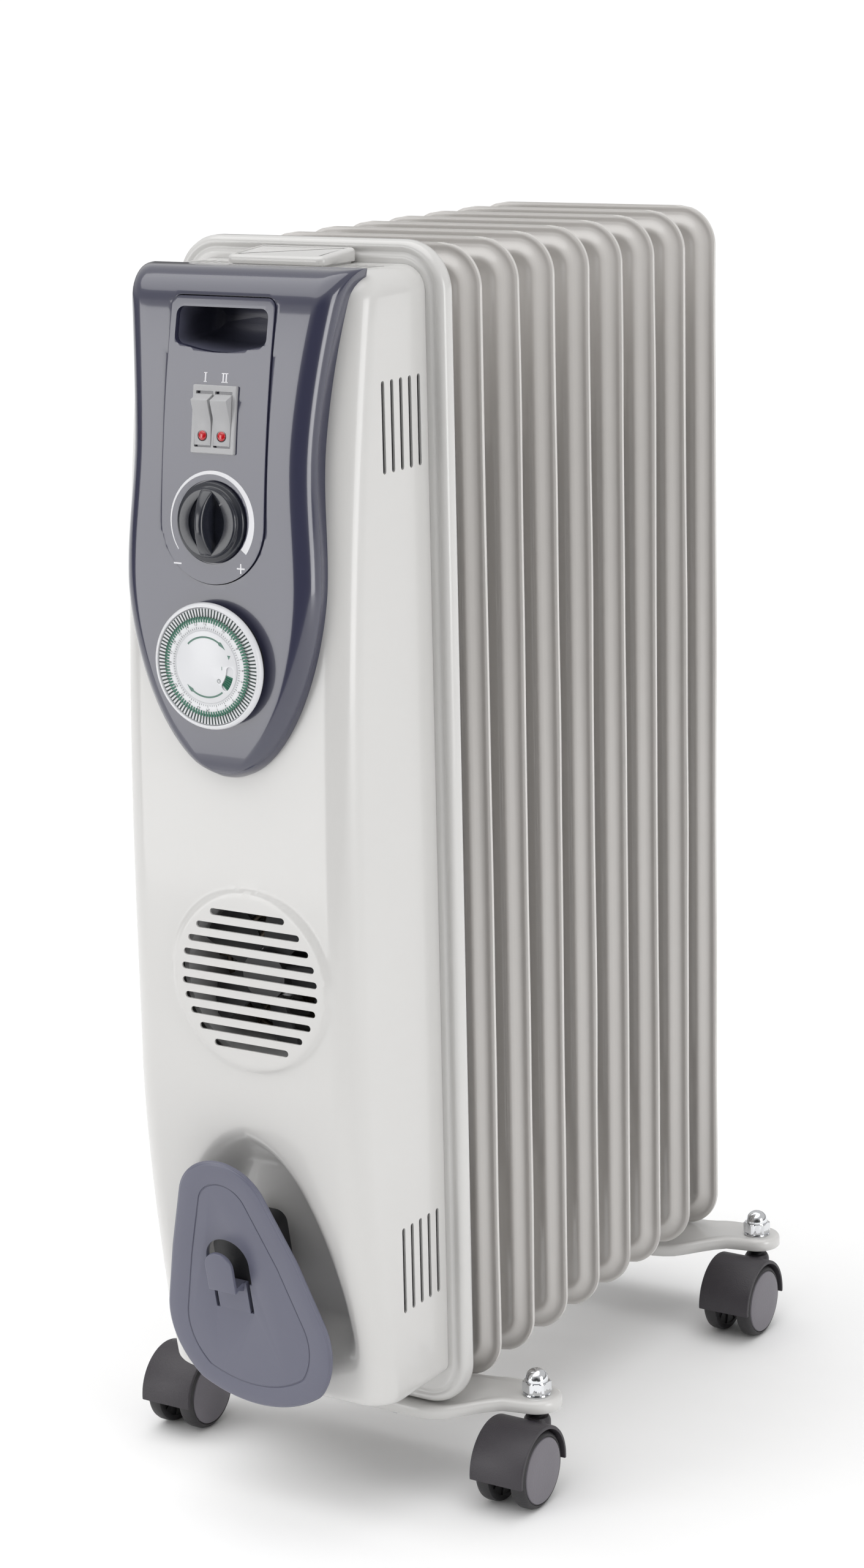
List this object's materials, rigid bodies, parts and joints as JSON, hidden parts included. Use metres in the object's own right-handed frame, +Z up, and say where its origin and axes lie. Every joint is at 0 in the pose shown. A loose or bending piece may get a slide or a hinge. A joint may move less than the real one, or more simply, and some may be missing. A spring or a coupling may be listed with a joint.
{
  "type": "oil filled radiator heater",
  "caption": "Upright oil filled radiator heater with a finned stack, control box, timer dial, thermostat, fan outlet, cord winder and twin-wheel casters.",
  "frame": {"origin": "on the floor under the middle of the heater's overall length and width", "axes": "+Z up, controls face -Y, fins are stacked along +Y, +X is to the right of someone facing the controls"},
  "size_m": [0.232, 0.3989, 0.633],
  "materials": {
    "fin_paint": "satin white enamel seen in shade",
    "case_paint": "semi-gloss warm white powder coat",
    "slate_plastic": "satin slate violet with fine grain",
    "grey_plastic": "satin light grey",
    "red_lens": "translucent red",
    "knob_plastic": "near-black blue grey",
    "dark_plastic": "black moulded",
    "white_plastic": "white moulded",
    "green_plastic": "dark green",
    "plated_steel": "bright zinc or chrome plate",
    "dull_steel": "plain",
    "caster_plastic": "dark grey nylon"
  },
  "bodies": {
    "heater": {"fin_1": "fin_paint", "fin_2": "fin_paint", "fin_3": "fin_paint", "fin_4": "fin_paint", "fin_5": "fin_paint", "fin_6": "fin_paint", "fin_7": "fin_paint", "fin_8": "fin_paint", "fin_9": "fin_paint", "oil_headers": "fin_paint", "heating_element": "plated_steel", "oil_filler_plug": "plated_steel", "back_plate": "case_paint", "control_box": "case_paint", "control_panel": "slate_plastic", "panel_insert": "slate_plastic", "handle_cup": "slate_plastic", "switch_bezel": "grey_plastic", "switch_body": "dark_plastic", "thermostat_body": "dark_plastic", "timer_bezel": "white_plastic", "timer_face": "white_plastic", "timer_body": "white_plastic", "top_pad": "case_paint", "fan_shroud": "dark_plastic", "fan_motor": "dull_steel", "fan_heater": "dull_steel", "winder_hub": "slate_plastic", "winder_plate": "slate_plastic", "cord_gland": "dark_plastic", "terminal_block": "white_plastic", "thermal_cutout": "dull_steel", "foot_front": "case_paint", "foot_rear": "case_paint", "u_bolts": "plated_steel", "wing_nuts": "plated_steel", "acorn_nuts": "plated_steel", "caster_stems": "plated_steel"},
    "rocker_1_body": {"rocker_1": "grey_plastic", "lens_1": "red_lens"},
    "rocker_2_body": {"rocker_2": "grey_plastic", "lens_2": "red_lens"},
    "knob_body": {"thermostat_knob": "knob_plastic"},
    "dial_body": {"timer_dial": "white_plastic", "timer_tappets": "green_plastic"},
    "slider_body": {"timer_slider": "green_plastic"},
    "impeller_body": {"fan_impeller": "dark_plastic"},
    "clip_body": {"plug_clip": "slate_plastic"},
    "caster_fr": {"caster_hood_fr": "caster_plastic"},
    "wheel_fr_out_body": {"wheel_fr_out": "caster_plastic"},
    "wheel_fr_in_body": {"wheel_fr_in": "caster_plastic"},
    "caster_fl": {"caster_hood_fl": "caster_plastic"},
    "wheel_fl_out_body": {"wheel_fl_out": "caster_plastic"},
    "wheel_fl_in_body": {"wheel_fl_in": "caster_plastic"},
    "caster_rr": {"caster_hood_rr": "caster_plastic"},
    "wheel_rr_out_body": {"wheel_rr_out": "caster_plastic"},
    "wheel_rr_in_body": {"wheel_rr_in": "caster_plastic"},
    "caster_rl": {"caster_hood_rl": "caster_plastic"},
    "wheel_rl_out_body": {"wheel_rl_out": "caster_plastic"},
    "wheel_rl_in_body": {"wheel_rl_in": "caster_plastic"}
  },
  "joints": [
    {"name": "rocker_1_tilt", "type": "hinge", "parent": "heater", "child": "rocker_1_body", "pos_m": [-0.0053, -0.172, 0.55524], "axis": [1, 0, 0], "range_deg": [-24, 0]},
    {"name": "rocker_2_tilt", "type": "hinge", "parent": "heater", "child": "rocker_2_body", "pos_m": [0.0053, -0.172, 0.55524], "axis": [1, 0, 0], "range_deg": [-24, 0]},
    {"name": "thermostat_turn", "type": "hinge", "parent": "heater", "child": "knob_body", "pos_m": [0, -0.1808, 0.5087], "axis": [0, -0.9968, 0.0802], "range_deg": [-135, 135]},
    {"name": "timer_turn", "type": "hinge", "parent": "heater", "child": "dial_body", "pos_m": [0, -0.184, 0.4418], "axis": [0, 1, 0], "continuous": true},
    {"name": "timer_override", "type": "hinge", "parent": "heater", "child": "slider_body", "pos_m": [0, -0.184, 0.4418], "axis": [0, -1, 0], "range_deg": [0, 17]},
    {"name": "fan_spin", "type": "hinge", "parent": "heater", "child": "impeller_body", "pos_m": [0.008, -0.1545, 0.2854], "axis": [0, -1, 0], "continuous": true},
    {"name": "clip_flex", "type": "hinge", "parent": "heater", "child": "clip_body", "pos_m": [-0.0045, -0.17941, 0.11706], "axis": [1, 0, 0], "range_deg": [0, 8], "stiffness_Nm_per_rad": 0.3},
    {"name": "swivel_fr", "type": "hinge", "parent": "heater", "child": "caster_fr", "pos_m": [0.1015, -0.069, 0.038], "axis": [0, 0, 1], "continuous": true},
    {"name": "roll_fr_out", "type": "hinge", "parent": "caster_fr", "child": "wheel_fr_out_body", "pos_m": [0.1116, -0.089, 0.02], "axis": [1, 0, 0], "continuous": true},
    {"name": "roll_fr_in", "type": "hinge", "parent": "caster_fr", "child": "wheel_fr_in_body", "pos_m": [0.0914, -0.089, 0.02], "axis": [1, 0, 0], "continuous": true},
    {"name": "swivel_fl", "type": "hinge", "parent": "heater", "child": "caster_fl", "pos_m": [-0.1015, -0.069, 0.038], "axis": [0, 0, 1], "continuous": true},
    {"name": "roll_fl_out", "type": "hinge", "parent": "caster_fl", "child": "wheel_fl_out_body", "pos_m": [-0.1116, -0.089, 0.02], "axis": [1, 0, 0], "continuous": true},
    {"name": "roll_fl_in", "type": "hinge", "parent": "caster_fl", "child": "wheel_fl_in_body", "pos_m": [-0.0914, -0.089, 0.02], "axis": [1, 0, 0], "continuous": true},
    {"name": "swivel_rr", "type": "hinge", "parent": "heater", "child": "caster_rr", "pos_m": [0.1015, 0.1835, 0.038], "axis": [0, 0, 1], "continuous": true},
    {"name": "roll_rr_out", "type": "hinge", "parent": "caster_rr", "child": "wheel_rr_out_body", "pos_m": [0.1116, 0.1635, 0.02], "axis": [1, 0, 0], "continuous": true},
    {"name": "roll_rr_in", "type": "hinge", "parent": "caster_rr", "child": "wheel_rr_in_body", "pos_m": [0.0914, 0.1635, 0.02], "axis": [1, 0, 0], "continuous": true},
    {"name": "swivel_rl", "type": "hinge", "parent": "heater", "child": "caster_rl", "pos_m": [-0.1015, 0.1835, 0.038], "axis": [0, 0, 1], "continuous": true},
    {"name": "roll_rl_out", "type": "hinge", "parent": "caster_rl", "child": "wheel_rl_out_body", "pos_m": [-0.1116, 0.1635, 0.02], "axis": [1, 0, 0], "continuous": true},
    {"name": "roll_rl_in", "type": "hinge", "parent": "caster_rl", "child": "wheel_rl_in_body", "pos_m": [-0.0914, 0.1635, 0.02], "axis": [1, 0, 0], "continuous": true}
  ]
}
